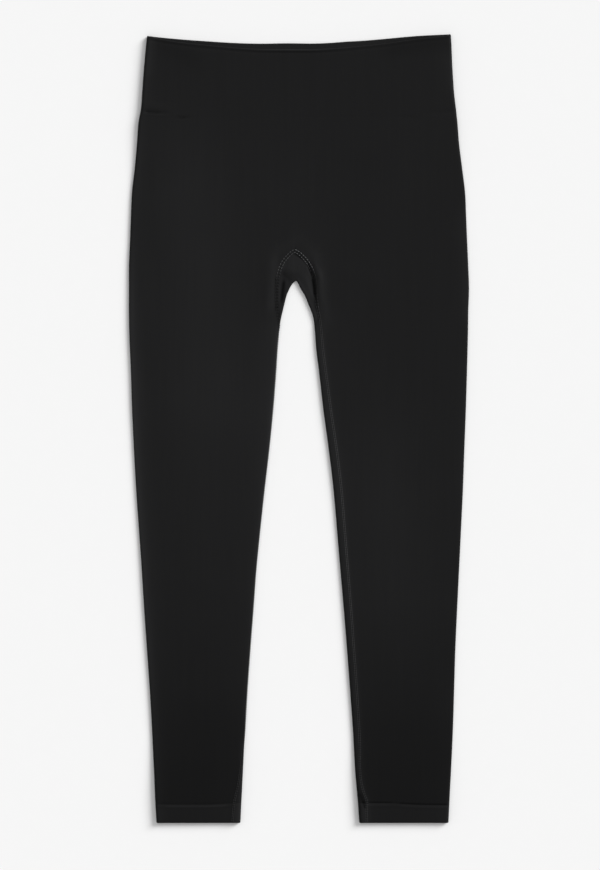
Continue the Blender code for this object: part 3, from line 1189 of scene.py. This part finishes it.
def stitch_tubes(name, centre, along, normal, length, thread, tone, material):
    """Stitches as one mesh: each is a short tube that comes up out of the cloth and dips back into it.

    Along a stitch, its middle line stands over the cloth by an arch, one less the square of the share of its
    half length, and its section is a hexagon that narrows to both ends. thread and tone have a value for each.
    """
    rings, sides = 7, 6
    share = np.linspace(-1.0, 1.0, rings)
    angle = np.linspace(0.0, 2 * math.pi, sides + 1)[:-1]
    arch = 0.72 * (1 - share**2) - 0.22
    size = 0.5 * np.sqrt(np.maximum(1 - 0.82 * share**4, 0.05))
    side = thread[:, None, None] * size[:, None] * np.cos(angle)
    up = thread[:, None, None] * (arch[:, None] + size[:, None] * np.sin(angle))
    run = np.broadcast_to((share * length / 2)[:, None], side.shape)
    points = (
        centre[:, None, None, :]
        + run[..., None] * along[:, None, None, :]
        + side[..., None] * np.cross(normal, along)[:, None, None, :]
        + up[..., None] * normal[:, None, None, :]
    )
    step = np.arange(sides)
    after = (step + 1) % sides
    ring = np.arange(rings - 1)[:, None] * sides
    quads = np.stack([ring + step, ring + after, ring + sides + after, ring + sides + step], axis=-1)
    ends = np.stack([step[::-1], step + (rings - 1) * sides])
    offset = (np.arange(len(centre)) * rings * sides)[:, None, None]
    faces = (quads.reshape(1, -1, 4) + offset).reshape(-1, 4).tolist()
    faces += (ends + offset).reshape(-1, sides).tolist()
    mesh = bpy.data.meshes.new(name)
    mesh.from_pydata(points.reshape(-1, 3).tolist(), [], faces)
    add_tone(mesh, np.repeat(tone, rings * sides))
    return add_object(name, mesh, material)


def unit(vectors):
    """Vectors brought to a length of one."""
    return vectors / np.linalg.norm(vectors, axis=1, keepdims=True)


def square_to(up, vectors):
    """Unit vectors along the part of each vector that is square to up."""
    return unit(vectors - (vectors * up).sum(axis=1, keepdims=True) * up)


def make_flat_seam(name, line, normal, pitch, stitch, material, height_of):
    """A flat seam along a line as a single piece, with a stitch of each row at every pitch.

    Two rows lie beside the line, wider apart round the gusset, with thinner slanting threads between them.
    height_of gives the height of a stitch from its place.
    """
    count = max(int(travel(line)[-1] / pitch), 2)
    stations = resample(np.hstack([line, normal]), 2 * count + 1)
    place = stations[1::2, :3]
    up = unit(stations[1::2, 3:])
    along = square_to(up, np.gradient(stations[:, :3], axis=0)[1::2])
    across = np.cross(up, along)
    wider = ease((place[:, 1:2] - SEAM_END_Y) / (26 * MM))
    width = stitch.inseam_width + (stitch.gusset_width - stitch.inseam_width) * wider
    centres = np.concatenate([place + width / 2 * across, place - width / 2 * across, place])
    centres[:, 2] = height_of(*centres.T)
    ups = np.concatenate([up, up, up])
    slant = unit(along * 0.55 * pitch + across * width * 0.8)
    ways = square_to(ups, np.concatenate([along, along, slant]))
    share = np.repeat([1.0, 1.0, SLANT_SHARE], count)
    x, y = centres[:, 0], centres[:, 1]
    # each stitch's painted light and shade, from its side and level, darker on the thinner slanting threads
    tone = np.where(x < THREAD_SPLIT_X, linear(THREAD_LIGHT, 1, y), linear(THREAD_LIGHT, 2, y)) * share**2
    length, thread = STITCH_SHARE * pitch, stitch.thread * share
    return stitch_tubes(name, centres, ways, ups, length, thread, tone, material)


class LEGGINGS_OT_gusset_seam(Operator):
    """The flat seam round the gusset, at the front and at the back"""

    bl_idname = "leggings.gusset_seam"
    bl_label = "Gusset seam"

    def execute(self, context):
        cloth, finish, stitch, _ = settings(context)
        material = thread_material("thread_gusset", finish)
        plan = seam_line(400)
        x, y = plan[plan[:, 1] > SEAM_END_Y].T

        def front(x, y, z):
            """Just above the front of the cloth, whatever z is."""
            return front_height(x, y, cloth) + 0.05 * MM

        def back(x, y, z):
            """On the back's relief and above the floor, whatever z is."""
            return np.maximum(back_relief(x, y), stitch.thread)

        for face, height_of, up in (("front", front, 1.0), ("back", back, -1.0)):
            line = np.column_stack([x, y, height_of(x, y, 0.0)])
            normal = np.tile([0.0, 0.0, up], (len(line), 1))
            obj = make_flat_seam(
                f"gusset_seam_{face}", line, normal, stitch.gusset_pitch, stitch, material, height_of
            )
            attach(obj, "root")
        return {"FINISHED"}


def inseam_line(side, cloth, lowest):
    """The line of a leg's inseam from hem to gusset and the cloth's normal along it, no lower than lowest.

    Its distance from the extreme of the inner fold runs up the fold's half circle, then over the front panel.
    """
    y = np.linspace(HEM_EDGE_Y + 1.2 * MM, SEAM_END_Y, 500)
    half = tube_height(y, cloth.rise) / 2
    distance = smooth(INSEAM, column_of(side), y)
    turn = np.clip(math.pi / 2 - distance / half, 0.0, math.pi)
    panel = np.maximum(distance - half * math.pi / 2, 0.0)
    x = side * (inner_edge(side, y) + half - half * np.sin(turn) + panel)
    z = half * (1 + np.cos(turn))
    z = np.maximum(z + front_relief(x, y, cloth) * z / (2 * half), lowest)
    normal = np.column_stack([-side * np.sin(turn), 0 * y, np.cos(turn)])
    return np.column_stack([x, y + hem_drift(x, y), z]), normal


class LEGGINGS_OT_inseams(Operator):
    """The flat seams down the inside of both legs"""

    bl_idname = "leggings.inseams"
    bl_label = "Inseams"

    def execute(self, context):
        cloth, finish, stitch, _ = settings(context)
        material = thread_material("thread_inseam", finish)
        lowest = 1.05 * stitch.thread

        def height_of(x, y, z):
            """The height of the place, kept off the floor."""
            return np.maximum(z, lowest)

        for side, name in ((RIGHT, "right"), (LEFT, "left")):
            line, normal = inseam_line(side, cloth, lowest)
            obj = make_flat_seam(f"inseam_{name}", line, normal, stitch.pitch, stitch, material, height_of)
            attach(obj, "root")
        return {"FINISHED"}


class LEGGINGS_OT_stage(Operator):
    """Pale floor, soft light from the upper right and a camera straight above"""

    bl_idname = "leggings.stage"
    bl_label = "Stage"

    view_height = 972.7 * MM
    camera_distance = 3.0
    centre = (1.1 * MM, -7.3 * MM)
    floor_size = 24.0
    floor_drop = 0.02 * MM
    key_from = (0.82, 0.57, 0.52)
    key_angle = math.radians(29)

    def execute(self, context):
        stage = context.scene.leggings_stage
        self.make_floor(stage)
        self.make_light(context, stage)
        self.make_camera(context)
        context.scene.view_settings.view_transform = "Standard"
        return {"FINISHED"}

    def make_floor(self, stage):
        """Matt paper, a hair below the cloth."""
        bpy.ops.mesh.primitive_plane_add(size=self.floor_size, location=(0.0, 0.0, -self.floor_drop))
        floor = bpy.context.object
        floor.name = "floor"
        nodes = Nodes("floor_paper")
        nodes.paint(stage.floor, nodes.weighted(0.995, (nodes.noise(60.0), 0.01)))
        nodes.shader.inputs["Roughness"].default_value = 0.9
        nodes.shader.inputs["Specular IOR Level"].default_value = 0.0
        floor.data.materials.append(nodes.material)
        floor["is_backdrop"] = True

    def make_light(self, context, stage):
        """Even white light from all round and one broad key light."""
        world = bpy.data.worlds.new("studio")
        world.use_nodes = True
        sky = world.node_tree.nodes["Background"]
        sky.inputs["Color"].default_value = (1.0, 1.0, 1.0, 1.0)
        sky.inputs["Strength"].default_value = stage.sky
        context.scene.world = world
        key = bpy.data.lights.new("key", "SUN")
        key.energy = stage.key
        key.angle = self.key_angle
        obj = bpy.data.objects.new("key", key)
        obj.rotation_euler = Vector(self.key_from).to_track_quat("Z", "Y").to_euler()
        context.scene.collection.objects.link(obj)

    def make_camera(self, context):
        """A camera that sees view_height from top to bottom."""
        camera = bpy.data.cameras.new("camera")
        camera.lens = camera.sensor_width * self.camera_distance / self.view_height
        obj = bpy.data.objects.new("camera", camera)
        obj.location = (*self.centre, self.camera_distance)
        context.scene.collection.objects.link(obj)
        context.scene.camera = obj


class LEGGINGS_PT_panel(Panel):
    """The steps that make the leggings, in order, and their settings"""

    bl_label = "Leggings"
    bl_idname = "LEGGINGS_PT_panel"
    bl_space_type = "VIEW_3D"
    bl_region_type = "UI"
    bl_category = "Leggings"

    def draw(self, context):
        for operator in OPERATORS:
            self.layout.operator(operator.bl_idname)
        for group in settings(context):
            box = self.layout.box()
            for name in group.__annotations__:
                box.prop(group, name)


SETTINGS = {
    "leggings_cloth": ClothSettings,
    "leggings_finish": FinishSettings,
    "leggings_stitch": StitchSettings,
    "leggings_stage": StageSettings,
}
OPERATORS = (
    LEGGINGS_OT_stage,
    LEGGINGS_OT_shell,
    LEGGINGS_OT_waistband,
    LEGGINGS_OT_hems,
    LEGGINGS_OT_gusset,
    LEGGINGS_OT_gusset_seam,
    LEGGINGS_OT_inseams,
)


def register():
    for kind in (*SETTINGS.values(), *OPERATORS, LEGGINGS_PT_panel):
        bpy.utils.register_class(kind)
    for name, kind in SETTINGS.items():
        setattr(bpy.types.Scene, name, PointerProperty(type=kind))


def unregister():
    for name in SETTINGS:
        delattr(bpy.types.Scene, name)
    for kind in (LEGGINGS_PT_panel, *reversed(OPERATORS), *SETTINGS.values()):
        bpy.utils.unregister_class(kind)


def main():
    register()
    bpy.ops.leggings.stage()
    bpy.ops.leggings.shell()
    bpy.ops.leggings.waistband()
    bpy.ops.leggings.hems()
    bpy.ops.leggings.gusset()
    bpy.ops.leggings.gusset_seam()
    bpy.ops.leggings.inseams()
    boxes = {"cad": CAD_BOX, "visual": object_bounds()}
    {name: [list(corner) for corner in box] for name, box in boxes.items()}


if __name__ == "__main__":
    main()
